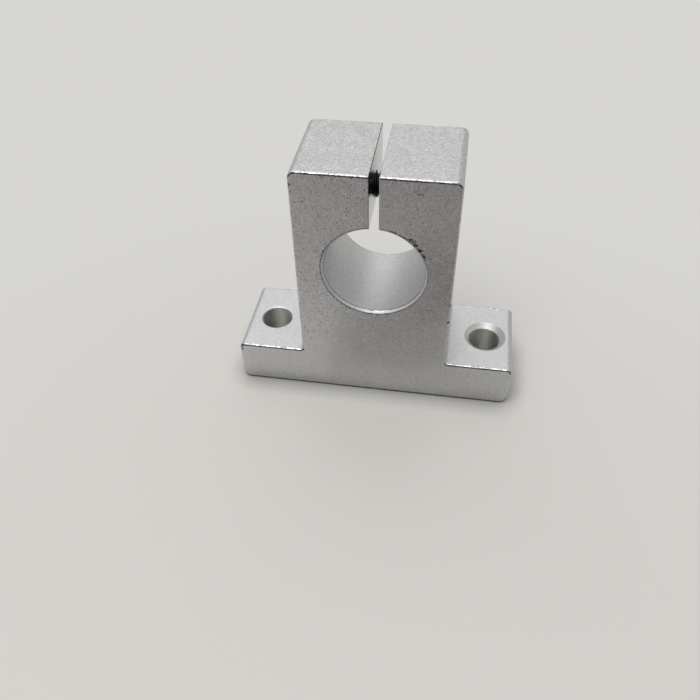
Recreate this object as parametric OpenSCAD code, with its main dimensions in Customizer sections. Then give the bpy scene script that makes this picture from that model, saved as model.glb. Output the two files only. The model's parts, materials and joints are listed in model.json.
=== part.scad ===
// Shaft support block: an upright split clamp on a flanged foot, which holds
// the end of a round guide shaft, with the screw that closes the clamp.
// X is the block's width, Y runs along the shaft and Z is up. The origin is the
// middle of the foot's underside. All sizes are in millimetres.

/* [Shaft bore] */
// Diameter of the shaft that the block holds
shaft_d = 16; // [10:0.5:30]
// Height of the shaft's axis above the foot's underside
shaft_h = 27; // [24:0.5:45]
// Chamfer on both mouths of the bore
bore_chamfer = 0.4; // [0.1:0.1:1]

/* [Upright] */
// Length of the block along the shaft
block_l = 16; // [12:0.5:40]
// Wall on each side of the bore
side_wall = 4.5; // [3.5:0.25:9]
// Radius of the two long edges at the top
top_r = 1.5; // [0.5:0.25:3]
// Width of the slot that lets the clamp close
slot_w = 1.5; // [1:0.25:3]

/* [Foot] */
// Thickness of the foot
foot_t = 8.4; // [6:0.1:12]
// Length of each side of the foot, from the upright to its end
foot_l = 11.5; // [10:0.5:20]
// Radius of the foot's upper end edges
foot_top_r = 1; // [0.5:0.25:2]
// Radius of the foot's lower end edges
foot_low_r = 1.5; // [0.5:0.25:3]
// Radius of the inner corners between foot and upright
inner_r = 0.6; // [0.3:0.1:1]
// Width of the break on the sawn edges, all round both faces of the block
edge_break = 0.25; // [0.1:0.05:0.4]

/* [Bolt holes] */
// Diameter of the two bolt holes in the foot
bolt_hole_d = 5.5; // [3:0.1:6.5]
// Distance from the foot's end to the centre of its bolt hole
bolt_inset = 5; // [4.5:0.25:5.5]
// Chamfer on the upper rims of the bolt holes
bolt_chamfer = 0.6; // [0.1:0.1:1]

/* [Clamp screw] */
// Nominal diameter of the screw's thread
screw_d = 4; // [3:0.5:5]
// Diameter of the screw's head
head_d = 7; // [6.5:0.5:9]
// Height of the screw's head
head_h = 4; // [3:0.25:5]
// Chamfer on the rim of the head, on the screw's tip and at its holes
screw_chamfer = 0.4; // [0.2:0.1:0.6]
// Width of the hexagon socket, from flat to flat
socket_w = 3; // [2:0.5:4]
// Depth of the hexagon socket
socket_depth = 2; // [1:0.25:2.5]

/* [Clamp screw's place] */
// Metal between the crown of the bore and the screw's hole
screw_wall = 0.75; // [0.5:0.25:4]
// Metal between the head's pocket and the top of the block
pocket_wall = 2; // [1:0.25:5]
// Depth of the head's top below the block's side
head_inset = 0.5; // [0:0.25:2]
// Distance that the screw's tip stays inside the opposite side
tip_inset = 0.5; // [0:0.25:4]

/* [Clearances] */
// Radial clearance of the screw in its through hole
through_gap = 0.25; // [0.15:0.05:0.4]
// Radial clearance between the head and its pocket
head_gap = 0.5; // [0.2:0.1:0.8]
// Radial clearance at the tops of the thread in the tapped hole
thread_gap = 0.05; // [0.02:0.01:0.08]

/* [Hidden] */
$fn = 96;

// How far a cutting shape reaches past the face that it cuts
past = 1;

bore_r = shaft_d / 2;
upright_w = shaft_d + 2 * side_wall;
block_w = upright_w + 2 * foot_l;

// Where the upright starts inside the foot, and the radius of its hidden edges there
root_z = foot_t / 2;
root_r = 2 * edge_break;

thread_r = screw_d / 2;
through_r = thread_r + through_gap;
tapped_r = thread_r + thread_gap;
head_r = head_d / 2;
pocket_r = head_r + head_gap;
screw_z = shaft_h + bore_r + screw_wall + through_r;
block_h = screw_z + pocket_r + pocket_wall;

// The screw's head, seat and tip, as places along X
side_x = upright_w / 2;
head_x = side_x - head_inset;
seat_x = head_x - head_h;
tip_x = tip_inset - side_x;

// A rectangle with its four corners cut off by the edge break
module broken_rectangle(w, l) {
    x = w / 2;
    y = l / 2;
    c = edge_break;
    polygon([
        [c - x, -y], [x - c, -y], [x, c - y], [x, y - c],
        [x - c, y], [c - x, y], [-x, y - c], [-x, c - y]
    ]);
}

// A rod along the shaft's direction, with both end rims broken
module broken_rod(r) {
    y = block_l / 2;
    c = edge_break;
    rotate([90, 0, 0]) rotate_extrude()
        polygon([[0, -y], [r - c, -y], [r, c - y], [r, y - c], [r - c, y], [0, y]]);
}

// A hole along the shaft's direction, with a chamfer at each mouth
module chamfered_hole(r, chamfer) {
    y = block_l / 2;
    flare = chamfer + past;
    rotate([90, 0, 0]) rotate_extrude()
        polygon([
            [0, -y - past], [r + flare, -y - past], [r, chamfer - y],
            [r, y - chamfer], [r + flare, y + past], [0, y + past]
        ]);
}

// A bar as long as the block, from height low to height high and centred on X,
// with the given radii along its upper and lower edges and its sawn edges broken
module bar(w, low, high, upper_r, lower_r) {
    translate([0, 0, low + lower_r])
        linear_extrude(high - low - upper_r - lower_r) broken_rectangle(w, block_l);
    for (slab = [[low + lower_r, high, upper_r], [low, high - upper_r, lower_r]]) {
        translate([0, 0, (slab[0] + slab[1]) / 2]) rotate([0, 90, 0])
            linear_extrude(w - 2 * slab[2], center = true)
                broken_rectangle(slab[1] - slab[0], block_l);
    }
    for (side = [-1, 1]) {
        translate([side * (w / 2 - upper_r), 0, high - upper_r]) broken_rod(upper_r);
        translate([side * (w / 2 - lower_r), 0, low + lower_r]) broken_rod(lower_r);
    }
}

// The rounded web in the inner corner at the origin, towards +X and +Z
module inner_corner() {
    difference() {
        translate([-past, -block_l / 2, -past]) cube([inner_r + past, block_l, inner_r + past]);
        translate([inner_r, 0, inner_r]) chamfered_hole(inner_r, edge_break);
    }
}

// The bar of the block before it is drilled: the foot, the upright that starts
// inside the foot, and the inner corners between them
module blank() {
    bar(block_w, 0, foot_t, foot_top_r, foot_low_r);
    bar(upright_w, root_z, block_h, top_r, root_r);
    for (side = [0, 1]) mirror([side, 0, 0]) translate([side_x, 0, foot_t]) inner_corner();
}

// Slot from the bore up through the top
module clamp_slot() {
    translate([-slot_w / 2, -block_l / 2 - past, shaft_h])
        cube([slot_w, block_l + 2 * past, block_h - shaft_h + past]);
}

// Hole for one bolt through the foot, with a chamfered upper rim
module bolt_hole() {
    r = bolt_hole_d / 2;
    translate([0, 0, -past]) cylinder(r = r, h = foot_t + 2 * past);
    translate([0, 0, foot_t - bolt_chamfer])
        cylinder(r1 = r, r2 = r + bolt_chamfer + past, h = bolt_chamfer + past);
}

// The screw's way through both jaws: a pocket for the head and a through hole
// on the +X side, and a tapped hole on the -X side, with chamfered mouths
module screw_way() {
    flare = screw_chamfer + past;
    translate([0, 0, screw_z]) rotate([0, 90, 0]) {
        translate([0, 0, seat_x]) cylinder(r = pocket_r, h = side_x - seat_x + past);
        translate([0, 0, side_x - edge_break])
            cylinder(r1 = pocket_r, r2 = pocket_r + edge_break + past, h = edge_break + past);
        cylinder(r = through_r, h = side_x);
        translate([0, 0, -side_x - past]) cylinder(r = tapped_r, h = side_x + past);
        translate([0, 0, -side_x - past]) cylinder(r1 = tapped_r + flare, r2 = tapped_r, h = flare);
    }
}

module support_block() {
    color("#c3c4c4")
    difference() {
        blank();
        translate([0, 0, shaft_h]) chamfered_hole(bore_r, bore_chamfer);
        clamp_slot();
        for (side = [-1, 1]) translate([side * (block_w / 2 - bolt_inset), 0, 0]) bolt_hole();
        screw_way();
    }
}

// Socket head cap screw along X, with its head on the +X side
module clamp_screw() {
    color("#1e1e20")
    translate([0, 0, screw_z]) rotate([0, 90, 0]) difference() {
        rotate_extrude() polygon([
            [0, tip_x], [thread_r - screw_chamfer, tip_x], [thread_r, tip_x + screw_chamfer],
            [thread_r, seat_x], [head_r, seat_x], [head_r, head_x - screw_chamfer],
            [head_r - screw_chamfer, head_x], [0, head_x]
        ]);
        translate([0, 0, head_x - socket_depth])
            cylinder(r = socket_w / 2 / cos(30), h = socket_depth + past, $fn = 6);
    }
}

support_block();
clamp_screw();
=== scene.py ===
"""Dresses a split shaft support block: the sawn and drilled aluminium, its clamp screw and a stage.

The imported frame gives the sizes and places. Lengths are metres, unless a name or a comment says
millimetres.
"""

import json
from contextlib import contextmanager
from math import cos, pi, radians, sin

import bmesh
import bpy
from bpy.props import FloatProperty, FloatVectorProperty, IntProperty, PointerProperty
from mathutils import Matrix, Vector, noise


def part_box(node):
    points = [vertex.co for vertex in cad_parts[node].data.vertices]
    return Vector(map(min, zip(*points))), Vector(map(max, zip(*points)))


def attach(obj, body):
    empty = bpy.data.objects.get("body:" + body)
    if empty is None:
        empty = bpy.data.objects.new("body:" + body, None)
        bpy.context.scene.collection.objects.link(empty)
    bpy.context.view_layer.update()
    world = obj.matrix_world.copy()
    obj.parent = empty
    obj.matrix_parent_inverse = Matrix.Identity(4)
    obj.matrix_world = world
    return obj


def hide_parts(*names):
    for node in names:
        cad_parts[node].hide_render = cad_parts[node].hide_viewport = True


bl_info = {
    "name": "Shaft support block",
    "version": (1, 0, 0),
    "blender": (4, 5, 0),
    "location": "3D View > Sidebar > Shaft Support",
    "description": "Models the finish of a split shaft support block around its frame",
    "category": "Add Mesh",
}

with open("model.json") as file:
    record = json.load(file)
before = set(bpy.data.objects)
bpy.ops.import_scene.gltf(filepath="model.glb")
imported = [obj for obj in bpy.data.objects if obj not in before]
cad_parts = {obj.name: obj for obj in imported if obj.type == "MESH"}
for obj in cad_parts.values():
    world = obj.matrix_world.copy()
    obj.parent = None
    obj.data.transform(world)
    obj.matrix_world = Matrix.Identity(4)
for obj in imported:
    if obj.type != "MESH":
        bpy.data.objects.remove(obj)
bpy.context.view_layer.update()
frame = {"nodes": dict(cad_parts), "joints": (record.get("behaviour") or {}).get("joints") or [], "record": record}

MM = 0.001
# Points this close are one point, and places this close are the same place
SAME_POINT = 0.001 * MM
SAME_PLACE = 0.01 * MM
# How far a cutting shape reaches past the face that it cuts
PAST = MM
X = Vector((1, 0, 0))
Y = Vector((0, 1, 0))
Z = Vector((0, 0, 1))

MOUNTS = {mount["name"]: mount for mount in frame["record"]["mounts"]}
TURN_JOINT = frame["joints"][0]

BLOCK_LOW, BLOCK_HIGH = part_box("support_block")
SCREW_LOW, SCREW_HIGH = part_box("clamp_screw")
BORE_CENTRE = Vector(MOUNTS["shaft_bore"]["pos_m"])
BORE_RADIUS = MOUNTS["shaft_bore"]["dims"]["r_mm"] * MM
BOLT_RADIUS = MOUNTS["base_holes"]["dims"]["hole_r_mm"] * MM
BOLT_X = MOUNTS["base_holes"]["dims"]["spacing_x_mm"] * MM / 2
SCREW_CENTRE = Vector(TURN_JOINT["pos_m"])
HEAD_RADIUS = (SCREW_HIGH.z - SCREW_LOW.z) / 2


def upright_and_foot():
    """The upright's half width and the foot's thickness, read from the frame's own block."""
    corners = [v.co for v in frame["nodes"]["support_block"].data.vertices]
    mid_height = (BLOCK_LOW.z + BLOCK_HIGH.z) / 2
    half_width = max(c.x for c in corners if c.z > mid_height)
    foot_middle = (half_width + BLOCK_HIGH.x) / 2
    thickness = max(c.z for c in corners if c.x > foot_middle)
    return half_width, thickness


def thread_radius():
    """The radius over the screw's thread, read from the left half of the frame's own screw."""
    corners = [v.co - SCREW_CENTRE for v in frame["nodes"]["clamp_screw"].data.vertices if v.co.x < 0]
    return max(Vector((c.y, c.z)).length for c in corners)


UPRIGHT_X, FOOT_Z = upright_and_foot()
SCREW_RADIUS = thread_radius()


def linear(hex_colour):
    """An sRGB hex colour as linear red, green and blue."""
    shares = [int(hex_colour[i : i + 2], 16) / 255 for i in (1, 3, 5)]
    return [s / 12.92 if s <= 0.04045 else ((s + 0.055) / 1.055) ** 2.4 for s in shares]


def length_setting(name, description, millimetres):
    """A length that a user can change, with its default given in millimetres."""
    default = millimetres * MM
    return FloatProperty(
        name=name, description=description, default=default, min=0.0, unit="LENGTH", precision=5
    )


def slope_setting(name, description, slope):
    """How steep a chamfer is, which a user can change: its depth for its width."""
    return FloatProperty(name=name, description=description, default=slope, min=0.1, max=2.0)


def angle_setting(name, description, degrees):
    """An angle that a user can change, with its default given in degrees."""
    return FloatProperty(name=name, description=description, default=radians(degrees), subtype="ANGLE")


def colour_setting(name, description, hex_colour):
    """A colour that a user can change."""
    default = linear(hex_colour)
    return FloatVectorProperty(
        name=name, description=description, default=default, size=3, min=0.0, max=1.0, subtype="COLOR"
    )


class BlockSettings(bpy.types.PropertyGroup):
    """Sizes of the block's edges and holes."""

    top_radius: length_setting("Top radius", "Radius of the upright's long top edges", 1.1)
    foot_top_radius: length_setting("Foot top radius", "Radius of the foot's upper end edges", 1.0)
    foot_low_left: length_setting("Foot low left radius", "Radius of its lower left edge", 1.2)
    foot_low_right: length_setting("Foot low right radius", "Radius of its lower right edge", 1.8)
    inner_radius: length_setting("Inner radius", "Radius between foot and upright", 0.6)
    slot_width: length_setting("Slot width", "Width of the clamping slot", 1.5)
    pocket_radius: length_setting("Pocket radius", "Radius of the pocket for the screw's head", 4.0)
    through_radius: length_setting("Through radius", "Radius of the screw's through hole", 2.25)
    tapped_radius: length_setting("Tapped radius", "Radius of the hole that the screw bites in", 2.05)
    bore_chamfer: length_setting("Bore chamfer", "Chamfer on both mouths of the bore", 0.4)
    left_sink: length_setting("Left sink", "Chamfer on the rim of the left bolt hole", 0.5)
    right_sink: length_setting("Right sink", "Chamfer on the rim of the right bolt hole", 0.9)
    left_slope: slope_setting("Left slope", "Depth of the left chamfer for its width", 0.6)
    right_slope: slope_setting("Right slope", "Depth of the right chamfer for its width", 0.8)
    sink_shift: length_setting("Sink shift", "How far off centre the right chamfer was cut", 0.1)
    screw_chamfer: length_setting("Screw chamfer", "Chamfer on the mouth of the tapped hole", 0.4)
    edge_break: length_setting("Edge break", "Width of the break on the sawn edges", 0.34)
    slot_break: length_setting("Slot break", "Width of the burr on the slot's edges", 0.1)
    rim_break: length_setting("Rim break", "Width of the burr on the bore's rims", 0.1)
    edge_step: length_setting("Edge step", "Spacing of the points that make an edge ragged", 0.35)
    raggedness: length_setting("Raggedness", "How far blasting has moved the broken edges", 0.04)


class ScrewSettings(bpy.types.PropertyGroup):
    """Sizes of the clamp screw."""

    head_height: length_setting("Head height", "Height of the screw's head", 4.0)
    pitch: length_setting("Pitch", "Distance from one turn of the thread to the next", 0.7)
    thread_depth: length_setting("Thread depth", "Depth of the thread", 0.43)
    chamfer: length_setting("Chamfer", "Chamfer on the head's rim", 0.4)
    knurl_depth: length_setting("Knurl depth", "Depth of the grooves round the head", 0.09)
    knurls: IntProperty(name="Knurls", description="Grooves round the head", default=48, min=3)
    socket_width: length_setting("Socket width", "Width of the hexagon socket", 3.0)
    socket_depth: length_setting("Socket depth", "Depth of the hexagon socket", 2.0)


class FinishSettings(bpy.types.PropertyGroup):
    """Colours of the metal."""

    blasted: colour_setting("Blasted", "Anodised aluminium after blasting", "#c4c4c6")
    machined: colour_setting("Machined", "Anodised aluminium after boring and drilling", "#d0d1d3")
    # Darker than the machined colour: painted shade down in the bolt holes
    drilled_with_painted_shade: colour_setting("Drilled", "Anodised aluminium down in the bolt holes", "#bdbdb8")
    torn: colour_setting("Torn", "Aluminium where a knock has torn it", "#757270")
    black_oxide: colour_setting("Black oxide", "The screw's steel", "#1a1a1b")


class StageSettings(bpy.types.PropertyGroup):
    """Floor, light and camera."""

    floor: colour_setting("Floor", "Colour of the floor round the block", "#cfceca")
    backdrop: colour_setting("Backdrop", "Colour of the far floor and the background", "#d7d6d2")
    azimuth: angle_setting("Azimuth", "Camera's turn round the block", 10.34)
    elevation: angle_setting("Elevation", "Camera's angle above the floor", 45.16)
    roll: angle_setting("Roll", "Camera's turn about its own view", -1.6)
    distance: length_setting("Distance", "From the camera to the middle of the block", 114.8)
    across: length_setting("Across", "How far right of the view's middle the block stands", 4.95)
    above: length_setting("Above", "How far over the view's middle the block stands", 16.06)
    lens: FloatProperty(name="Lens", description="Focal length in millimetres", default=35.7, min=1.0)


def add_node(tree, kind, values=None, links=None, **settings):
    """Adds a shader node with its settings, its sockets' values and what feeds them. A node that
    feeds a socket does so from its first output."""
    node = tree.nodes.new("ShaderNode" + kind)
    for name, setting in settings.items():
        setattr(node, name, setting)
    for socket, value in (values or {}).items():
        node.inputs[socket].default_value = value
    for socket, source in (links or {}).items():
        output = source.outputs[0] if isinstance(source, bpy.types.Node) else source
        tree.links.new(output, node.inputs[socket])
    return node


def emptied_tree(owner):
    """The node tree of a material or world, switched on and emptied."""
    owner.use_nodes = True
    owner.node_tree.nodes.clear()
    return owner.node_tree


def new_finish(name):
    """A material without nodes, its tree, and a node with the place on the piece in millimetres."""
    finish = bpy.data.materials.new(name)
    tree = emptied_tree(finish)
    place = add_node(tree, "TexCoord").outputs["Object"]
    place_mm = add_node(tree, "VectorMath", {1: (1 / MM,) * 3}, {0: place}, operation="MULTIPLY")
    return finish, tree, place_mm


def spread(low, high, to_low=0.0, to_high=1.0):
    """The values that spread one range to another in a Map Range node."""
    return {"From Min": low, "From Max": high, "To Min": to_low, "To Max": to_high}


def toned_metal(tree, base, tone, values, links):
    """Ends a metal's tree: its colour times its tone, and its shader with its values and links."""
    colour = add_node(tree, "VectorMath", {0: base}, {1: tone}, operation="MULTIPLY")
    values = {"Metallic": 1.0, **values}
    shader = add_node(tree, "BsdfPrincipled", values, {"Base Color": colour, **links})
    add_node(tree, "OutputMaterial", links={"Surface": shader})


def saw_specks(tree, place, axes):
    """How deep each place lies in a speck that the saw tore. It tore its two faces only, above the
    foot, and the specks gather in patches, most of all low on the left jaw."""
    speck_mm = 0.5
    patch_mm = 9.0
    face_mm = BLOCK_HIGH.y / MM
    foot_mm = FOOT_Z / MM
    speck = add_node(tree, "TexVoronoi", {"Scale": 1 / speck_mm}, {"Vector": place}).outputs
    patch = add_node(tree, "TexNoise", {"Scale": 1 / patch_mm, "Detail": 1.0}, {"Vector": place})
    leftward = add_node(tree, "MapRange", spread(-4.0, -12.0, 0.0, 0.56), {"Value": axes["X"]})
    downward = add_node(tree, "MapRange", spread(40.0, 31.0), {"Value": axes["Z"]})
    low_left = add_node(tree, "Math", links={0: leftward, 1: downward}, operation="MULTIPLY")
    patched = add_node(tree, "MapRange", spread(0.42, 0.6, 0.0, 0.4), {"Value": patch})
    chance = add_node(tree, "Math", links={0: patched, 1: low_left}, operation="ADD")
    over_foot = spread(foot_mm + 0.6, foot_mm + 6.6)
    off_foot = add_node(tree, "MapRange", over_foot, {"Value": axes["Z"]})
    chance = add_node(tree, "Math", links={0: chance, 1: off_foot}, operation="MULTIPLY")
    chance = add_node(tree, "Math", links={0: speck["Color"], 1: chance}, operation="ADD")
    chosen = add_node(tree, "MapRange", spread(0.85, 0.97), {"Value": chance})
    dot = add_node(tree, "MapRange", spread(0.12, 0.27, 1.0, 0.0), {"Value": speck["Distance"]})
    from_middle = add_node(tree, "Math", links={0: axes["Y"]}, operation="ABSOLUTE")
    sawn = add_node(tree, "MapRange", spread(face_mm - 0.2, face_mm - 0.05), {"Value": from_middle})
    torn = add_node(tree, "Math", links={0: dot, 1: chosen}, operation="MULTIPLY")
    return add_node(tree, "Math", links={0: torn, 1: sawn}, operation="MULTIPLY")


def add_scratches(tree, place, marked):
    """Adds two hair-thin scratches on the front to what is marked: each is a line of even noise, near
    its own place."""
    scratch_mm = 1.6
    places_mm = ((-9.0, -8.0, 41.3), (6.4, -8.0, 42.4))
    wander = add_node(tree, "TexNoise", {"Scale": 1 / scratch_mm}, {"Vector": place})
    off_line = add_node(tree, "Math", {1: 0.5}, {0: wander}, operation="SUBTRACT")
    off_line = add_node(tree, "Math", links={0: off_line}, operation="ABSOLUTE")
    line = add_node(tree, "MapRange", spread(0.008, 0.03, 1.0, 0.0), {"Value": off_line})
    for centre in places_mm:
        away = add_node(tree, "VectorMath", {1: centre}, {0: place}, operation="DISTANCE").outputs
        near = add_node(tree, "MapRange", spread(0.9, 1.7, 0.6, 0.0), {"Value": away["Value"]})
        scratch = add_node(tree, "Math", links={0: line, 1: near}, operation="MULTIPLY")
        marked = add_node(tree, "Math", links={0: marked, 1: scratch}, operation="MAXIMUM")
    return marked


def blasted_anodised_aluminium(settings):
    """Extruded aluminium, bead blasted and clear anodised: satin silver with a fine sparkling grain,
    a little uneven, with dark specks where the saw tore it. The grain of the beads is about a tenth
    of this and is drawn coarser, so that it shows."""
    grain_mm = 0.17
    facet_mm = 0.25
    cloud_mm = 3.0
    painted_shade_height_mm = 0.3
    relief_mm = 0.04
    speck_depth = -1.5
    foot_mm = FOOT_Z / MM
    finish, tree, place = new_finish("blasted_anodised_aluminium")
    axes = add_node(tree, "SeparateXYZ", links={"Vector": place}).outputs
    grain = add_node(tree, "TexNoise", {"Scale": 1 / grain_mm, "Roughness": 0.6}, {"Vector": place})
    cells = {"Scale": 1 / facet_mm, "Smoothness": 0.6}
    facet = add_node(tree, "TexVoronoi", cells, {"Vector": place}, feature="SMOOTH_F1").outputs
    cloud = add_node(tree, "TexNoise", {"Scale": 1 / cloud_mm}, {"Vector": place})
    torn = saw_specks(tree, place, axes)
    tone = add_node(tree, "MapRange", spread(0.25, 0.75, 0.74, 1.26), {"Value": grain})
    for source, values in (
        (cloud, spread(0.3, 0.7, 0.97, 1.03)),
        (facet["Color"], spread(0.0, 1.0, 0.76, 1.24)),
        (add_scratches(tree, place, torn), spread(0.0, 1.0, 1.0, 0.25)),
    ):
        part = add_node(tree, "MapRange", values, {"Value": source})
        tone = add_node(tree, "Math", links={0: tone, 1: part}, operation="MULTIPLY")

    # Blasted less, the foot's grain is fainter; painted contact shade darkens a band just above its underside
    blasting = spread(foot_mm + 0.6, foot_mm + 11.6, 0.55, 0.9)
    strength = add_node(tree, "MapRange", blasting, {"Value": axes["Z"]})
    tone = add_node(tree, "Math", links={0: tone, 1: strength}, operation="POWER")
    off_painted_shade_line = add_node(tree, "Math", {1: painted_shade_height_mm}, {0: axes["Z"]}, operation="SUBTRACT")
    off_painted_shade_line = add_node(tree, "Math", links={0: off_painted_shade_line}, operation="ABSOLUTE")
    painted_shade_tone = add_node(tree, "MapRange", spread(0.12, 0.28, 0.5, 1.0), {"Value": off_painted_shade_line})
    tone = add_node(tree, "Math", links={0: tone, 1: painted_shade_tone}, operation="MULTIPLY")

    beads = add_node(tree, "Math", links={0: grain, 1: facet["Distance"]}, operation="ADD")
    height = add_node(tree, "Math", {1: speck_depth}, {0: torn, 2: beads}, operation="MULTIPLY_ADD")
    relief = add_node(tree, "Bump", {"Strength": 0.5, "Distance": relief_mm * MM}, {"Height": height})
    rough = add_node(tree, "MapRange", spread(0.0, 1.0, 0.36, 0.52), {"Value": facet["Color"]})
    toned_metal(tree, settings.blasted, tone, {}, {"Roughness": rough, "Normal": relief})
    return finish


def worn_aluminium(settings):
    """The anodised skin worn through along an edge: bare, brighter metal, with dirt in its nicks."""
    nick_mm = 0.5
    finish, tree, place = new_finish("worn_aluminium")
    nick = add_node(
        tree, "TexNoise", {"Scale": 1 / nick_mm, "Detail": 3.0, "Roughness": 0.7}, {"Vector": place}
    )
    tone = add_node(tree, "MapRange", spread(0.38, 0.54, 0.5, 1.1), {"Value": nick})
    rough = add_node(tree, "MapRange", spread(0.4, 0.6, 0.5, 0.3), {"Value": nick})
    toned_metal(tree, settings.machined, tone, {}, {"Roughness": rough})
    return finish


def burr_with_painted_shade(settings):
    """A burr along an edge, half broken off: dull metal, darkened partly by dirt in its nicks and partly as
    painted shade, and darker still round the foot's underside: painted contact shade."""
    nick_mm = 0.6
    finish, tree, place = new_finish("burr_with_painted_shade")
    nick = add_node(
        tree, "TexNoise", {"Scale": 1 / nick_mm, "Detail": 3.0, "Roughness": 0.7}, {"Vector": place}
    )
    axes = add_node(tree, "SeparateXYZ", links={"Vector": place}).outputs
    painted_shade_tone = add_node(tree, "MapRange", spread(0.42, 0.64, 0.1, 0.5), {"Value": nick})
    # Painted contact shade: the burr is darker towards the underside
    raised = add_node(tree, "MapRange", spread(0.2, 1.0, 0.1, 1.0), {"Value": axes["Z"]})
    tone = add_node(tree, "Math", links={0: painted_shade_tone, 1: raised}, operation="MULTIPLY")
    toned_metal(tree, settings.blasted, tone, {"Roughness": 0.45}, {})
    return finish


def torn_aluminium(settings):
    """Aluminium torn open by a knock: a crust of small breaks, some painted bright as glints, darker along the
    lines between them.
    """
    break_mm = 0.26
    scale = {"Scale": 1 / break_mm}
    finish, tree, place = new_finish("torn_aluminium")
    gap = add_node(tree, "TexVoronoi", scale, {"Vector": place}, feature="DISTANCE_TO_EDGE")
    cell = add_node(tree, "TexVoronoi", scale, {"Vector": place}).outputs
    inside = add_node(tree, "MapRange", spread(0.08, 0.3, 0.35, 1.0), {"Value": gap})
    # Painted glints: some breaks are painted up to several times brighter than the rest
    bright = add_node(tree, "MapRange", spread(0.35, 1.0, 0.5, 4.5), {"Value": cell["Color"]})
    tone = add_node(tree, "Math", links={0: inside, 1: bright}, operation="MULTIPLY")
    toned_metal(tree, settings.torn, tone, {"Metallic": 0.5, "Roughness": 0.5}, {})
    return finish


# What each tool leaves: the axis it turns about, its feed and the rings' height in millimetres, the
# roughness, and how far the rings stretch what the wall mirrors along the hole, as a drill's do
TURNED = {
    "bored_aluminium": (Y, 0.09, 0.015, 0.54, 0.0),
    "drilled_aluminium_painted_shade": (Z, 0.12, 0.02, 0.7, 0.85),
    "cross_drilled_aluminium": (X, 0.12, 0.03, 0.35, 0.0),
    "countersunk_aluminium": (Z, 0.3, 0.01, 0.5, 0.0),
}


def turned_aluminium(name, base):
    """Anodised aluminium after boring or drilling: smoother and lighter than the blasted skin,
    with fine rings round the hole's axis, a feed apart, and a faint grain over them."""
    along, feed_mm, relief_mm, roughness, stretched = TURNED[name]
    grain_mm = 0.35
    round_share = 0.15
    uneven = 0.05
    stretch = [1 / feed_mm if part else round_share for part in along]
    finish, tree, place = new_finish(name)
    along_feed = add_node(tree, "Mapping", {"Scale": stretch}, {"Vector": place})
    rings = add_node(tree, "TexNoise", {"Scale": 1.0, "Roughness": 0.6}, {"Vector": along_feed})
    grain = add_node(
        tree, "TexNoise", {"Scale": 1 / grain_mm, "Detail": 3.0, "Roughness": 0.6}, {"Vector": place}
    )
    height = add_node(tree, "Math", links={0: rings, 1: grain}, operation="ADD")
    relief = add_node(tree, "Bump", {"Strength": 0.5, "Distance": relief_mm * MM}, {"Height": height})
    ring_tone = add_node(tree, "MapRange", spread(0.3, 0.7, 0.95, 1.05), {"Value": rings})
    grain_tone = add_node(tree, "MapRange", spread(0.3, 0.7, 0.82, 1.1), {"Value": grain})
    tone = add_node(tree, "Math", links={0: ring_tone, 1: grain_tone}, operation="MULTIPLY")
    unevenly = spread(0.3, 0.7, roughness - uneven, roughness + uneven)
    rough = add_node(tree, "MapRange", unevenly, {"Value": grain})
    links = {"Roughness": rough, "Normal": relief}
    if stretched:
        links["Tangent"] = add_node(tree, "VectorMath", {0: along}, operation="NORMALIZE")
    toned_metal(tree, base, tone, {"Anisotropic": stretched}, links)
    return finish


def sawn_aluminium(settings):
    """Anodised aluminium as a slitting saw leaves it: bright, with fine slanting tooth lines."""
    tooth_mm = 0.25
    along_share = 0.2
    saw_slant = radians(35)
    relief_mm = 0.01
    finish, tree, place = new_finish("sawn_aluminium")
    slant = add_node(tree, "Mapping", {"Rotation": (saw_slant, 0, 0)}, {"Vector": place})
    across = add_node(tree, "Mapping", {"Scale": (1.0, 1 / tooth_mm, along_share)}, {"Vector": slant})
    lines = add_node(tree, "TexNoise", {"Scale": 1.0}, {"Vector": across})
    relief = add_node(tree, "Bump", {"Strength": 0.25, "Distance": relief_mm * MM}, {"Height": lines})
    tone = add_node(tree, "MapRange", spread(0.3, 0.7, 0.8, 1.0), {"Value": lines})
    toned_metal(tree, settings.machined, tone, {"Roughness": 0.2}, {"Normal": relief})
    return finish


def black_oxide_steel(settings):
    """Alloy steel with a black oxide skin under a film of oil: near black with a soft, uneven gloss."""
    patch_mm = 0.5
    finish, tree, place = new_finish("black_oxide_steel")
    patch = add_node(tree, "TexNoise", {"Scale": 1 / patch_mm, "Detail": 3.0}, {"Vector": place})
    tone = add_node(tree, "MapRange", spread(0.3, 0.7, 0.8, 1.2), {"Value": patch})
    rough = add_node(tree, "MapRange", spread(0.3, 0.7, 0.32, 0.5), {"Value": patch})
    oiled = {"Metallic": 0.6, "Coat Weight": 0.12, "Coat Roughness": 0.3}
    toned_metal(tree, settings.black_oxide, tone, oiled, {"Roughness": rough})
    return finish


def solid(name, bm, finish):
    """Makes an object at the origin from a closed bmesh, with its faces turned outwards."""
    bmesh.ops.recalc_face_normals(bm, faces=bm.faces)
    mesh = bpy.data.meshes.new(name)
    bm.to_mesh(mesh)
    bm.free()
    mesh.materials.append(finish)
    piece = bpy.data.objects.new(name, mesh)
    bpy.context.scene.collection.objects.link(piece)
    return piece


def bake(piece):
    """Makes the shape that a piece's modifiers give it its own mesh."""
    graph = bpy.context.evaluated_depsgraph_get()
    shaped = bpy.data.meshes.new_from_object(piece.evaluated_get(graph))
    plain = piece.data
    piece.modifiers.clear()
    piece.data = shaped
    bpy.data.meshes.remove(plain)


def combine(piece, other, operation="DIFFERENCE"):
    """Cuts a solid by another, or joins them, and removes the other."""
    modifier = piece.modifiers.new("combine", "BOOLEAN")
    modifier.object = other
    modifier.operation = operation
    modifier.solver = "MANIFOLD"
    modifier.material_mode = "TRANSFER"
    bake(piece)
    bpy.data.objects.remove(other)
    check_closed(piece)


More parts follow.
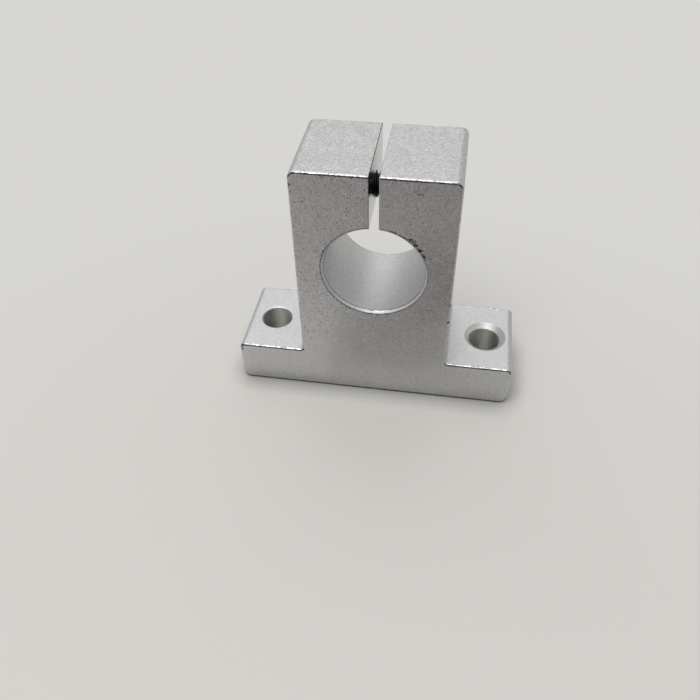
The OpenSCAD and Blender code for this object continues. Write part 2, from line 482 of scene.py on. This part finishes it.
def check_closed(piece):
    """Stops where a cut has left a piece open or has lost it."""
    bm = bmesh.new()
    bm.from_mesh(piece.data)
    closed = all(edge.is_manifold for edge in bm.edges)
    volume = bm.calc_volume()
    bm.free()
    if not closed or volume <= 0.0:
        raise RuntimeError(f"{piece.name} isn't a closed solid after a cut")


def round_bar(start, end, radius, finish, segments, end_radius=None):
    """A round bar or cone from one point to another, to cut holes with."""
    bm = bmesh.new()
    along = end - start
    far_radius = radius if end_radius is None else end_radius
    bmesh.ops.create_cone(
        bm, cap_ends=True, segments=segments, radius1=radius, radius2=far_radius, depth=along.length
    )
    turn = Z.rotation_difference(along).to_matrix().to_4x4()
    bmesh.ops.transform(bm, matrix=Matrix.Translation((start + end) / 2) @ turn, verts=bm.verts)
    return solid("round_bar", bm, finish)


def box_bar(low, high, finish):
    """A box between two corners, to cut slots with."""
    bm = bmesh.new()
    bmesh.ops.create_cube(bm, size=1.0)
    bmesh.ops.scale(bm, vec=high - low, verts=bm.verts)
    bmesh.ops.translate(bm, vec=(low + high) / 2, verts=bm.verts)
    return solid("box_bar", bm, finish)


def extruded_bar(settings, finish):
    """The inverted T of the extrusion, sawn to length, with its long edges rounded."""
    round_segments = 10
    low, high = BLOCK_LOW, BLOCK_HIGH
    upper_right = [
        (high.x, FOOT_Z, settings.foot_top_radius),
        (UPRIGHT_X, FOOT_Z, settings.inner_radius),
        (UPRIGHT_X, high.z, settings.top_radius),
    ]
    upper_left = [(-x, z, radius) for x, z, radius in reversed(upper_right)]
    low_right = (high.x, low.z, settings.foot_low_right)
    low_left = (low.x, low.z, settings.foot_low_left)
    corners = [low_right, *upper_right, *upper_left, low_left]
    bm = bmesh.new()
    points = [bm.verts.new((x, low.y, z)) for x, z, _ in corners]
    face = bm.faces.new(points)
    made = bmesh.ops.extrude_face_region(bm, geom=[face])["geom"]
    moved = [part for part in made if isinstance(part, bmesh.types.BMVert)]
    bmesh.ops.translate(bm, vec=Y * (high.y - low.y), verts=moved)
    for radius in sorted({radius for _, _, radius in corners}):
        at_radius = {(x, z) for x, z, r in corners if r == radius}
        long_edges = [
            edge
            for edge in bm.edges
            if all(near_any(vert.co, at_radius) for vert in edge.verts)
            and abs(edge.verts[0].co.y - edge.verts[1].co.y) > MM
        ]
        bmesh.ops.bevel(
            bm, geom=long_edges, offset=radius, segments=round_segments, profile=0.5, affect="EDGES"
        )
    return solid("support_block", bm, finish)


def near_any(point, places):
    """Whether a point lies on a long edge through one of the given places in X and Z."""
    return any(abs(point.x - x) < SAME_PLACE and abs(point.z - z) < SAME_PLACE for x, z in places)


def chamfer_rim(block, mouth, outward, radius, width, finish, segments, slope=1.0):
    """Chamfers the rim of a hole where it leaves the block, as deep as the slope times the width."""
    inner = mouth - outward * width * slope
    outer = mouth + outward * PAST
    outer_radius = radius + width + PAST / slope
    combine(block, round_bar(inner, outer, radius, finish, segments, outer_radius))


def bore_and_slot(block, settings, bored, sawn):
    """Bores the block for the shaft and saws the slot from the bore up."""
    segments = 144
    reach = Y * (BLOCK_HIGH.y + PAST)
    combine(block, round_bar(BORE_CENTRE - reach, BORE_CENTRE + reach, BORE_RADIUS, bored, segments))
    for end in (-Y, Y):
        mouth = BORE_CENTRE + end * BLOCK_HIGH.y
        chamfer_rim(block, mouth, end, BORE_RADIUS, settings.bore_chamfer, bored, segments)
    low = Vector((-settings.slot_width / 2, BLOCK_LOW.y - PAST, BORE_CENTRE.z))
    high = Vector((settings.slot_width / 2, BLOCK_HIGH.y + PAST, BLOCK_HIGH.z + PAST))
    combine(block, box_bar(low, high, sawn))


def drill_foot(block, settings, drilled_with_painted_shade, countersunk):
    """Drills the two bolt holes and chamfers their rims, the right one a little off centre."""
    segments = 64
    for x, sink, slope, shift in (
        (-BOLT_X, settings.left_sink, settings.left_slope, 0.0),
        (BOLT_X, settings.right_sink, settings.right_slope, settings.sink_shift),
    ):
        under = Vector((x, 0, BLOCK_LOW.z - PAST))
        over = Vector((x, 0, FOOT_Z + PAST))
        combine(block, round_bar(under, over, BOLT_RADIUS, drilled_with_painted_shade, segments))
        rim = Vector((x + shift, 0, FOOT_Z))
        radius, width = BOLT_RADIUS - shift, sink + shift
        chamfer_rim(block, rim, Z, radius, width, countersunk, segments, slope)


def drill_screw_way(block, settings, seat_x, cross_drilled):
    """Drills the screw's way: a through hole and a pocket on the right, a tapped hole on the left."""
    hole_segments = 48
    pocket_segments = 80
    middle = Vector(SCREW_CENTRE)
    outside = X * (UPRIGHT_X + PAST)
    seat = middle + X * seat_x
    for start, end, radius, segments in (
        (middle, middle + outside, settings.through_radius, hole_segments),
        (middle - outside, middle, settings.tapped_radius, hole_segments),
        (seat, middle + outside, settings.pocket_radius, pocket_segments),
    ):
        combine(block, round_bar(start, end, radius, cross_drilled, segments))
    for outward, radius, width, segments in (
        (-X, settings.tapped_radius, settings.screw_chamfer, hole_segments),
        (X, settings.pocket_radius, settings.edge_break, pocket_segments),
    ):
        mouth = middle + outward * UPRIGHT_X
        chamfer_rim(block, mouth, outward, radius, width, cross_drilled, segments)


def fold(edge):
    """How far an edge's two faces turn from each other."""
    return edge.calc_face_angle(0.0) if len(edge.link_faces) == 2 else 0.0


def break_width(edge, settings):
    """The width that a sharp edge of the block is broken to, or nothing for an edge left sharp."""
    slack = 0.05 * MM
    a, b = (vert.co for vert in edge.verts)
    middle = (a + b) / 2
    in_face = abs(a.y - b.y) < SAME_PLACE
    from_bore = Vector((middle.x, middle.z - BORE_CENTRE.z)).length
    if abs(abs(middle.x) - settings.slot_width / 2) < SAME_PLACE and middle.z > BORE_CENTRE.z:
        return settings.slot_break
    if from_bore < BORE_RADIUS + settings.bore_chamfer + slack:
        return settings.rim_break if in_face else 0.0
    if in_face and abs(abs(middle.y) - BLOCK_HIGH.y) < SAME_PLACE:
        return settings.edge_break
    return 0.0


@contextmanager
def edited_mesh(piece):
    """Opens a piece's mesh for editing and puts it back afterwards."""
    bm = bmesh.new()
    bm.from_mesh(piece.data)
    yield bm
    bm.to_mesh(piece.data)
    bm.free()


def break_edges(block, settings, worn, shaded_burr):
    """Breaks the block's sharp edges, each to its own width, in steps fine enough to be made ragged.
    Gives the index of the worn finish, which the dark burr's finish, with its painted shade, comes before."""
    flat, sharp = radians(0.5), radians(30)
    strips = 4
    block.data.materials.append(shaded_burr)
    block.data.materials.append(worn)
    worn_index = len(block.data.materials) - 1
    widest = max(settings.edge_break, settings.slot_break)
    with edited_mesh(block) as bm:
        bmesh.ops.remove_doubles(bm, verts=bm.verts, dist=SAME_POINT)
        bmesh.ops.dissolve_limit(
            bm, angle_limit=flat, verts=bm.verts, edges=bm.edges, delimit={"MATERIAL"}
        )
        weights = bm.edges.layers.float.new("bevel_weight_edge")
        for edge in list(bm.edges):
            if fold(edge) < sharp:
                continue
            weight = break_width(edge, settings) / widest
            edge[weights] = weight
            if weight == 0.0:
                continue
            for left in range(round(edge.calc_length() / settings.edge_step), 1, -1):
                split = bmesh.utils.edge_split(edge, edge.verts[0], 1 / left)
                split[0][weights] = weight
                edge = next(e for e in split[1].link_edges if e is not split[0])
    bevel = block.modifiers.new("edge_break", "BEVEL")
    bevel.width = widest
    bevel.limit_method = "WEIGHT"
    bevel.segments = strips
    bevel.material = worn_index
    bevel.use_clamp_overlap = False
    bake(block)
    return worn_index


def uneven_vector(place):
    """A small vector that changes smoothly from place to place, and is the same in each run."""
    apart = 31.7
    return Vector([noise.noise(place + axis * apart) for axis in (X, Y, Z)])


def across_flat_faces(vert, worn_index):
    """Directions, square to each other, that would move a point out of the flat faces it belongs to."""
    least = 0.05
    normals = {}
    for face in vert.link_faces:
        if face.material_index != worn_index:
            normals[tuple(round(part, 3) for part in face.normal)] = face.normal
    directions = []
    for key in sorted(normals):
        left = normals[key].copy()
        for direction in directions:
            left -= direction * left.dot(direction)
        if left.length > least:
            directions.append(left.normalized())
    return directions


def wear_edges(block, settings, worn_index):
    """Moves the points of the broken edges a little, each within the flat faces that it belongs to,
    and leaves the bright wear on top of them only: blasting has covered the upright ones. The dark
    burr along the sawn faces, at the bore and underneath is painted shade, with some dirt in its nicks."""
    wave = 0.45 * MM
    rim_margin = 1.5
    # A break is four strips wide, and the share of a strip's normal along Y tells which it is: one of
    # the two nearer the sawn face, the one right by that face, or the one right by the wall
    lower_half, by_face, by_wall = 0.75, 0.93, 0.35
    # The share along Z tells the breaks that look up from the upright ones and those that look down
    raised, upright, under = 0.05, 0.2, -0.1
    rim = BORE_RADIUS + settings.bore_chamfer + settings.rim_break * rim_margin
    shaded_burr_index, blasted_index = worn_index - 1, 0
    with edited_mesh(block) as bm:
        for vert in bm.verts:
            if all(face.material_index != worn_index for face in vert.link_faces):
                continue
            strength = settings.raggedness
            from_bore = Vector((vert.co.x, vert.co.z - BORE_CENTRE.z)).length
            if abs(vert.co.x) < settings.slot_width or from_bore < rim:
                strength *= settings.rim_break / settings.edge_break
            shift = uneven_vector(vert.co / wave) * strength
            for direction in across_flat_faces(vert, worn_index):
                shift -= direction * shift.dot(direction)
            vert.co += shift
        # The dark burr is painted shade: strips by the sawn faces under the top edges' highlights, the bore's
        # rims, the slot's left edges, and strips that look down
        for face in bm.faces:
            if face.material_index != worn_index:
                continue
            middle = face.calc_center_median()
            from_bore = Vector((middle.x, middle.z - BORE_CENTRE.z)).length
            level, up = abs(face.normal.y), face.normal.z
            if abs(middle.x) < settings.slot_width / 2 + settings.slot_break:
                shaded_burr = middle.x < 0
            elif from_bore < rim:
                shaded_burr = level > by_face or level < by_wall
            else:
                shaded_burr = (level > lower_half and up > raised) or up < under
                if not shaded_burr and up >= upright:
                    continue
            face.material_index = shaded_burr_index if shaded_burr else blasted_index


def chip_tools(chips, unevenness, finish):
    """Small lumps with an uneven skin, clear of each other, to knock chips out of the block with."""
    lumps_a_radius = 1.1
    apart = 7
    bm = bmesh.new()
    for place, radius in chips:
        made = bmesh.ops.create_icosphere(bm, subdivisions=2, radius=radius)["verts"]
        for vert in made:
            spot = vert.co / radius * lumps_a_radius + place / MM * apart
            vert.co *= 1 + unevenness * noise.noise(spot)
        bmesh.ops.translate(bm, vec=place, verts=made)
    return solid("chip_tools", bm, finish)


def clear_of_each_other(chips):
    """Sorts chips into groups in which none touches another, even with its lumps."""
    reach = 1.9
    groups = []
    for place, radius in chips:
        for group in groups:
            if all((place - other).length > reach * (radius + size) for other, size in group):
                group.append((place, radius))
                break
        else:
            groups.append([(place, radius)])
    return groups


# Chips in the bore's front rim: their angle round it in degrees, and how far out they lie and their
# radius in millimetres
RIM_CHIPS = (
    (73.4, 0.12, 0.16), (71.6, 0.16, 0.24), (69.3, 0.22, 0.24), (66.8, 0.14, 0.12), (64, 0.1, 0.16),
    (62, 0.13, 0.17), (60, 0.1, 0.14), (58.2, 0.14, 0.17), (56.2, 0.15, 0.17), (54.2, 0.18, 0.2),
    (51.5, 0.3, 0.24), (50.8, 0.62, 0.18), (47.5, 0.76, 0.22), (48.5, 0.4, 0.34), (46, 0.52, 0.3),
    (44.5, 0.14, 0.3), (42.6, 0.36, 0.26), (40.4, 0.1, 0.14), (37.8, 0.2, 0.26), (35.8, 0.34, 0.34),
    (34, 0.6, 0.2), (36.3, 0.08, 0.2), (32, 0.1, 0.12), (30.5, 0.24, 0.18), (28.8, 0.2, 0.24),
    (26.5, 0.24, 0.25), (24.4, 0.28, 0.14), (140, 0.08, 0.12), (146, 0.1, 0.13), (151, 0.12, 0.17),
    (155, 0.13, 0.22), (158.4, 0.14, 0.16), (162, 0.1, 0.13), (166.5, 0.12, 0.17), (171, 0.09, 0.14),
    (177, 0.07, 0.12), (186, 0.07, 0.14), (193, 0.07, 0.11), (201, 0.08, 0.13), (207, 0.06, 0.11),
    (213, 0.08, 0.14), (220, 0.08, 0.12), (227, 0.1, 0.14), (233, 0.14, 0.17), (239, 0.13, 0.19),
    (243, 0.16, 0.16), (248, 0.06, 0.15), (261, 0.1, 0.14), (264, 0.1, 0.17), (269, 0.12, 0.19),
    (274, 0.1, 0.18), (278, 0.1, 0.14), (285.5, 0.1, 0.24), (289.4, 0.04, 0.14),
)
# Chips in the edges of the front face and in the back's top edge: X, Z and radius in millimetres
FRONT_CHIPS = (
    (2.35, 18.3, 0.16), (-12.3, 41.8, 0.36), (12.45, 38.2, 0.18), (12.42, 34.2, 0.12),
    (12.4, 28.4, 0.12), (12.36, 26.3, 0.22), (12.4, 23.6, 0.15), (12.34, 21.9, 0.34),
    (12.4, 18.3, 0.42), (12.42, 16.2, 0.14), (-12.42, 35.0, 0.12), (-12.42, 32.0, 0.16),
    (-12.42, 30.1, 0.18), (-12.42, 26.2, 0.16), (-12.42, 25.4, 0.2), (-12.42, 19.7, 0.17),
    (-12.42, 15.3, 0.13), (-24.0, 8.1, 0.6), (-23.7, 7.2, 0.3), (23.9, 8.2, 0.4), (23.4, 8.3, 0.18),
    (22.9, 8.35, 0.14), (-11.4, 13.4, 0.17),
)
BACK_CHIPS = ((7.4, 44.1, 0.55), (7.9, 44.1, 0.4))
# Bright shallow places rubbed on the right foot by its back edge: X, radius and depth in millimetres
RUBBED = (
    (14.8, 1.2, 0.03), (15.9, 1.4, 0.06), (16.4, 1.3, 0.05), (17.8, 1.6, 0.12), (18.4, 1.5, 0.11),
    (18.9, 1.3, 0.06), (20.0, 1.4, 0.08), (20.6, 1.6, 0.11), (21.1, 1.4, 0.09),
)


def knock_chips(block, settings, torn, worn):
    """Knocks chips out of the bore's rim and the edges, as in a part that has lain loose in a box, and
    rubs the right foot by its back edge."""
    front, back = BLOCK_LOW.y, BLOCK_HIGH.y
    outside = 0.3
    rubbed_from_back = 0.5 * MM
    lumpy, smooth = 0.9, 0.03
    rim = BORE_RADIUS + settings.bore_chamfer
    knocked = []
    for degrees, out, radius in RIM_CHIPS:
        turn = radians(degrees)
        place = BORE_CENTRE + Vector((cos(turn), 0, sin(turn))) * (rim + out * MM)
        knocked.append((Vector((place.x, front - radius * MM * outside, place.z)), radius * MM))
    for x, z, radius in FRONT_CHIPS:
        knocked.append((Vector((x, 0, z)) * MM + Y * (front - radius * MM * outside), radius * MM))
    for x, z, radius in BACK_CHIPS:
        knocked.append((Vector((x, 0, z)) * MM + Y * back, radius * MM))
    rubbed = [
        (Vector((x * MM, back - rubbed_from_back, FOOT_Z + (radius - depth) * MM)), radius * MM)
        for x, radius, depth in RUBBED
    ]
    for chips, unevenness, finish in ((knocked, lumpy, torn), (rubbed, smooth, worn)):
        for group in clear_of_each_other(chips):
            combine(block, chip_tools(group, unevenness, finish))


def shade(block, torn):
    """Smooths the rounded edges, leaves folds and chips crisp, and keeps every point in the frame's
    own box."""
    crisp = radians(35)
    slots = [slot.material for slot in block.material_slots]
    with edited_mesh(block) as bm:
        for vert in bm.verts:
            for axis in range(3):
                vert.co[axis] = min(max(vert.co[axis], BLOCK_LOW[axis]), BLOCK_HIGH[axis])
        for face in bm.faces:
            face.smooth = slots[face.material_index] is not torn
        for edge in bm.edges:
            edge.smooth = fold(edge) < crisp
    shading = block.modifiers.new("flat_faces", "WEIGHTED_NORMAL")
    shading.keep_sharp = True


def support_block_piece(context):
    """Models the block."""
    settings = context.scene.block_settings
    colours = context.scene.finish_settings
    seat_x = SCREW_HIGH.x - context.scene.screw_settings.head_height
    bored = turned_aluminium("bored_aluminium", colours.machined)
    drilled_with_painted_shade = turned_aluminium("drilled_aluminium_painted_shade", colours.drilled_with_painted_shade)
    cross_drilled = turned_aluminium("cross_drilled_aluminium", colours.machined)
    countersunk = turned_aluminium("countersunk_aluminium", colours.machined)
    torn, worn = torn_aluminium(colours), worn_aluminium(colours)
    block = extruded_bar(settings, blasted_anodised_aluminium(colours))
    bore_and_slot(block, settings, bored, sawn_aluminium(colours))
    drill_foot(block, settings, drilled_with_painted_shade, countersunk)
    drill_screw_way(block, settings, seat_x, cross_drilled)
    worn_index = break_edges(block, settings, worn, burr_with_painted_shade(colours))
    wear_edges(block, settings, worn_index)
    knock_chips(block, settings, torn, worn)
    shade(block, torn)
    return block


def thread_rod(settings, finish):
    """A rod with a real thread: one pitch of the profile, screwed along X and cut to length, with its
    tip turned down to a cone."""
    crest = SCREW_RADIUS
    root = crest - settings.thread_depth
    pitch = settings.pitch
    steps_a_turn = 28
    into_head = 0.5 * MM
    turns_before, turns_after = 1.5, 2
    # The profile over one pitch, as shares of the pitch and radii
    profile = ((0.0, root), (0.25, root), (0.56, crest), (0.69, crest), (1.0, root))
    # The tip's cone: its cuts along the rod, its radius under the thread's root, and how fast it widens
    tip_cuts_mm = (0.15, 0.3, 0.45)
    tip_radius = root - 0.1 * MM
    tip_slope = 1.2
    start = SCREW_LOW.x - turns_before * pitch
    end = SCREW_HIGH.x - settings.head_height + into_head
    turns = int((end - start) / pitch) + turns_after
    bm = bmesh.new()
    points = [bm.verts.new((start + share * pitch, 0, radius)) for share, radius in profile]
    lines = [bm.edges.new(pair) for pair in zip(points, points[1:])]
    bmesh.ops.spin(
        bm,
        geom=points + lines,
        axis=X,
        dvec=X * (pitch / steps_a_turn),
        angle=2 * pi * turns,
        steps=steps_a_turn * turns,
    )
    bmesh.ops.remove_doubles(bm, verts=bm.verts, dist=SAME_PLACE)
    cut_and_cap(bm, SCREW_LOW.x, -X)
    cut_and_cap(bm, end, X)
    for depth in tip_cuts_mm:
        geometry = bm.verts[:] + bm.edges[:] + bm.faces[:]
        cut = X * (SCREW_LOW.x + depth * MM)
        bmesh.ops.bisect_plane(bm, geom=geometry, plane_co=cut, plane_no=X)
    for vert in bm.verts:
        limit = tip_radius + (vert.co.x - SCREW_LOW.x) * tip_slope
        radius = Vector((0, vert.co.y, vert.co.z)).length
        if radius > limit:
            vert.co.y *= limit / radius
            vert.co.z *= limit / radius
    bmesh.ops.translate(bm, vec=(0, 0, SCREW_CENTRE.z), verts=bm.verts)
    return solid("clamp_screw", bm, finish)


def cut_and_cap(bm, x, outward):
    """Cuts what lies past a plane across X off a tube, and closes the end."""
    on_plane = 0.0001 * MM
    geometry = bm.verts[:] + bm.edges[:] + bm.faces[:]
    cut = bmesh.ops.bisect_plane(
        bm, geom=geometry, plane_co=X * x, plane_no=outward, clear_outer=True, dist=on_plane
    )
    rim = [part for part in cut["geom_cut"] if isinstance(part, bmesh.types.BMEdge)]
    bmesh.ops.contextual_create(bm, geom=rim)


def screw_head(settings, finish):
    """The head with grooves round its side and a chamfered rim, built up ring by ring from its seat."""
    corners_a_groove = 4
    seat_chamfer = 0.12 * MM
    groove_end = 0.02 * MM
    corners = corners_a_groove * settings.knurls
    rim = settings.head_height - settings.chamfer
    # Each ring's height above the seat, its radius and the depth of its grooves
    rings = (
        (0.0, HEAD_RADIUS - seat_chamfer, 0.0),
        (seat_chamfer, HEAD_RADIUS, settings.knurl_depth),
        (rim, HEAD_RADIUS, settings.knurl_depth),
        (rim + groove_end, HEAD_RADIUS, 0.0),
        (settings.head_height, HEAD_RADIUS - settings.chamfer, 0.0),
    )
    bm = bmesh.new()
    bmesh.ops.create_circle(bm, segments=corners, radius=HEAD_RADIUS, cap_ends=True)
    face = bm.faces[:][0]
    previous = 0.0
    for step, (height, radius, depth) in enumerate(rings):
        if step:
            below = face
            made = bmesh.ops.extrude_face_region(bm, geom=[below])["geom"]
            face = next(part for part in made if isinstance(part, bmesh.types.BMFace))
            if step > 1:
                bmesh.ops.delete(bm, geom=[below], context="FACES_ONLY")
            bmesh.ops.translate(bm, vec=Z * (height - previous), verts=list(face.verts))
        previous = height
        for vert in face.verts:
            out = vert.co.to_2d().normalized()
            corner = round(corners * Vector((1, 0)).angle_signed(out) / (2 * pi))
            flat = out * (radius - (0.0 if corner % corners_a_groove else depth))
            vert.co.x, vert.co.y = flat
    seat = Vector((SCREW_HIGH.x - settings.head_height, 0, SCREW_CENTRE.z))
    turn = Z.rotation_difference(X).to_matrix().to_4x4()
    bmesh.ops.transform(bm, matrix=Matrix.Translation(seat) @ turn, verts=bm.verts)
    return solid("screw_head", bm, finish)


def clamp_screw_piece(context):
    """Models the screw."""
    settings = context.scene.screw_settings
    steel = black_oxide_steel(context.scene.finish_settings)
    crisp = radians(30)
    hexagon = 6
    lead = 0.25 * MM
    lead_segments = 48
    top = Vector((SCREW_HIGH.x, 0, SCREW_CENTRE.z))
    over = top + X * PAST
    corner_radius = settings.socket_width / 2 / cos(pi / hexagon)
    screw = thread_rod(settings, steel)
    combine(screw, screw_head(settings, steel), "UNION")
    socket_floor = top - X * settings.socket_depth
    combine(screw, round_bar(socket_floor, over, corner_radius, steel, hexagon))
    inner_radius, outer_radius = corner_radius - lead, corner_radius + PAST
    combine(screw, round_bar(top - X * lead, over, inner_radius, steel, lead_segments, outer_radius))
    with edited_mesh(screw) as bm:
        bmesh.ops.remove_doubles(bm, verts=bm.verts, dist=SAME_POINT)
        for face in bm.faces:
            face.smooth = True
        for edge in bm.edges:
            edge.smooth = fold(edge) < crisp
    return screw


class SHAFTSUPPORT_OT_support_block(bpy.types.Operator):
    """Model the sawn, bored and slotted aluminium block."""

    bl_idname = "shaft_support.support_block"
    bl_label = "Support Block"

    def execute(self, context):
        block = support_block_piece(context)
        block.name = "split_block"
        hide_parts("support_block")
        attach(block, "block")
        return {"FINISHED"}


class SHAFTSUPPORT_OT_clamp_screw(bpy.types.Operator):
    """Model the black socket head screw that closes the clamp."""

    bl_idname = "shaft_support.clamp_screw"
    bl_label = "Clamp Screw"

    def execute(self, context):
        screw = clamp_screw_piece(context)
        screw.name = "socket_screw"
        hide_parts("clamp_screw")
        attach(screw, "screw")
        return {"FINISHED"}


class SHAFTSUPPORT_OT_stage(bpy.types.Operator):
    """Lay the pale floor, hang the soft lights and set up the camera."""

    bl_idname = "shaft_support.stage"
    bl_label = "Stage"

    def execute(self, context):
        settings = context.scene.stage_settings
        lay_floor(settings)
        hang_lights(settings)
        set_camera(settings)
        context.scene.view_settings.view_transform = "Standard"
        return {"FINISHED"}


def seen_directly(tree):
    """Whether a ray comes from the camera, or by way of a mirror or glass."""
    path = add_node(tree, "LightPath").outputs
    seen = path["Is Camera Ray"]
    for other in ("Is Glossy Ray", "Is Transmission Ray"):
        seen = add_node(tree, "Math", links={0: seen, 1: path[other]}, operation="MAXIMUM")
    return seen


def lay_floor(settings):
    """A wide matt floor at the block's underside, which runs into the background far from the block."""
    front_mm = (0.0, -62.0, 0.0)
    near_mm, far_mm = 40.0, 135.0
    painted_contact_shade_mm = 4.0
    radius, corners = 4.0, 96
    bm = bmesh.new()
    bmesh.ops.create_circle(bm, cap_ends=True, segments=corners, radius=radius)
    bmesh.ops.translate(bm, vec=Z * BLOCK_LOW.z, verts=bm.verts)
    finish, tree, place = new_finish("pale_floor")
    # Ambient occlusion darkens the floor's colour near the block: painted contact shade
    colour = add_node(
        tree, "AmbientOcclusion", {"Color": (*settings.floor, 1.0), "Distance": painted_contact_shade_mm * MM}
    )
    shader = add_node(
        tree, "BsdfPrincipled", {"Roughness": 0.8, "Specular IOR Level": 0.2}, {"Base Color": colour}
    )
    backdrop = add_node(tree, "Emission", {"Color": (*settings.backdrop, 1.0), "Strength": 1.0})
    away = add_node(tree, "VectorMath", {1: front_mm}, {0: place}, operation="DISTANCE").outputs
    far = add_node(
        tree,
        "MapRange",
        spread(near_mm, far_mm),
        {"Value": away["Value"]},
        interpolation_type="SMOOTHSTEP",
    )
    share = add_node(tree, "Math", links={0: far, 1: seen_directly(tree)}, operation="MULTIPLY")
    mixed = add_node(tree, "MixShader", links={0: share, 1: shader, 2: backdrop})
    add_node(tree, "OutputMaterial", links={"Surface": mixed})
    solid("floor", bm, finish)


def area_lamp(name, place, target, size, watts, colour):
    """A square soft light that faces a point."""
    lamp = bpy.data.lights.new(name, "AREA")
    lamp.shape = "SQUARE"
    lamp.size = size
    lamp.energy = watts
    lamp.color = colour
    hung = bpy.data.objects.new(name, lamp)
    hung.location = place
    hung.rotation_euler = (place - target).to_track_quat("Z", "Y").to_euler()
    bpy.context.scene.collection.objects.link(hung)


# The lamps: name, place and size in metres, watts, and linear red, green and blue
LAMPS = (
    ("overhead_light", (-0.15, -0.32, 0.76), 0.48, 3.4, (1.0, 0.99, 0.97)),
    ("rear_light", (-0.2, 0.9, 1.5), 1.4, 5.4, (0.98, 0.985, 1.0)),
)
# The cards that the metal mirrors: name, colour, centre and size in millimetres, and tilt in degrees
CARDS = (
    ("front_card", "#565050", (0, -350, 110), (900, 200), 90),
    ("far_card", "#565050", (0, -225, 1), (900, 250), 0),
    ("low_card", "#b4afad", (18, -62, 8), (90, 70), 0),
    ("side_card", "#706c6b", (17, -31, 9), (26, 18), 0),
    ("near_card", "#a09d98", (3, -24.5, 1), (24, 20), 0),
    ("pale_card", "#d8d7d3", (-22, -20, 1), (26, 22), 0),
)


def hang_lights(settings):
    """A large soft light overhead, a weaker one behind, an even sky, and cards for the metal to
    mirror."""
    middle = (BLOCK_LOW + BLOCK_HIGH) / 2
    white = (1.0, 1.0, 1.0, 1.0)
    sky_strength = 0.5
    for name, place, size, watts, colour in LAMPS:
        area_lamp(name, Vector(place), middle, size, watts, colour)
    world = bpy.data.worlds.new("soft_sky")
    bpy.context.scene.world = world
    tree = emptied_tree(world)
    sky = add_node(tree, "Background", {"Color": white, "Strength": sky_strength})
    backdrop = add_node(tree, "Background", {"Color": (*settings.backdrop, 1.0), "Strength": 1.0})
    mixed = add_node(tree, "MixShader", links={0: seen_directly(tree), 1: sky, 2: backdrop})
    add_node(tree, "OutputWorld", links={"Surface": mixed})
    for card in CARDS:
        stand_card(*card)


def stand_card(name, colour, centre_mm, size_mm, tilt_degrees):
    """A matt card that only reflections show, to give the metal something to mirror."""
    tilt = Matrix.Rotation(radians(tilt_degrees), 3, "X")
    bm = bmesh.new()
    bmesh.ops.create_grid(bm, x_segments=1, y_segments=1, size=MM / 2)
    bmesh.ops.scale(bm, vec=(*size_mm, 1), verts=bm.verts)
    bmesh.ops.rotate(bm, matrix=tilt, verts=bm.verts)
    bmesh.ops.translate(bm, vec=Vector(centre_mm) * MM, verts=bm.verts)
    finish = bpy.data.materials.new(name)
    tree = emptied_tree(finish)
    values = {"Base Color": (*linear(colour), 1.0), "Roughness": 0.9}
    shader = add_node(tree, "BsdfPrincipled", values)
    add_node(tree, "OutputMaterial", links={"Surface": shader})
    card = solid(name, bm, finish)
    for ray in ("camera", "diffuse", "transmission", "volume_scatter", "shadow"):
        setattr(card, "visible_" + ray, False)


def set_camera(settings):
    """Puts the camera where the view's angles, distance and offsets say."""
    aim = Vector((0, 0, 25 * MM))
    sensor_mm = 36.0
    nearest, farthest = 5 * MM, 20.0
    azimuth, elevation, roll = settings.azimuth, settings.elevation, settings.roll
    back = Vector((sin(azimuth) * cos(elevation), -cos(azimuth) * cos(elevation), sin(elevation)))
    level = (-back).cross(Z).normalized()
    upward = level.cross(-back)
    right = level * cos(roll) + upward * sin(roll)
    up = upward * cos(roll) - level * sin(roll)
    place = aim - right * settings.across - up * settings.above + back * settings.distance
    lens = bpy.data.cameras.new("camera")
    lens.sensor_width = sensor_mm
    lens.lens = settings.lens
    lens.clip_start = nearest
    lens.clip_end = farthest
    camera = bpy.data.objects.new("camera", lens)
    turn = Matrix((right, up, back)).transposed().to_4x4()
    camera.matrix_world = Matrix.Translation(place) @ turn
    bpy.context.scene.collection.objects.link(camera)
    bpy.context.scene.camera = camera


class SHAFTSUPPORT_PT_shaft_support(bpy.types.Panel):
    """Lists the pieces and the stage with their settings."""

    bl_idname = "SHAFTSUPPORT_PT_shaft_support"
    bl_label = "Shaft Support"
    bl_space_type = "VIEW_3D"
    bl_region_type = "UI"
    bl_category = "Shaft Support"

    def draw(self, context):
        for operator, settings_name in LISTED:
            part = self.layout.box()
            if operator:
                part.operator(operator)
            settings = getattr(context.scene, settings_name)
            for name in type(settings).__annotations__:
                part.prop(settings, name)


# What the panel lists: an operator, if there is one, and the settings that go with it
LISTED = (
    ("shaft_support.support_block", "block_settings"),
    ("shaft_support.clamp_screw", "screw_settings"),
    ("", "finish_settings"),
    ("shaft_support.stage", "stage_settings"),
)
SETTINGS = {
    "block_settings": BlockSettings,
    "screw_settings": ScrewSettings,
    "finish_settings": FinishSettings,
    "stage_settings": StageSettings,
}
CLASSES = (
    *SETTINGS.values(),
    SHAFTSUPPORT_OT_support_block,
    SHAFTSUPPORT_OT_clamp_screw,
    SHAFTSUPPORT_OT_stage,
    SHAFTSUPPORT_PT_shaft_support,
)


def register():
    """Adds the classes and the scene's settings."""
    for kind in CLASSES:
        bpy.utils.register_class(kind)
    for name, kind in SETTINGS.items():
        setattr(bpy.types.Scene, name, PointerProperty(type=kind))


def unregister():
    """Removes the scene's settings and the classes."""
    for name in SETTINGS:
        delattr(bpy.types.Scene, name)
    for kind in reversed(CLASSES):
        bpy.utils.unregister_class(kind)


def main():
    """Models the pieces and the stage."""
    register()
    bpy.ops.shaft_support.support_block()
    bpy.ops.shaft_support.clamp_screw()
    bpy.ops.shaft_support.stage()


if __name__ == "__main__":
    main()
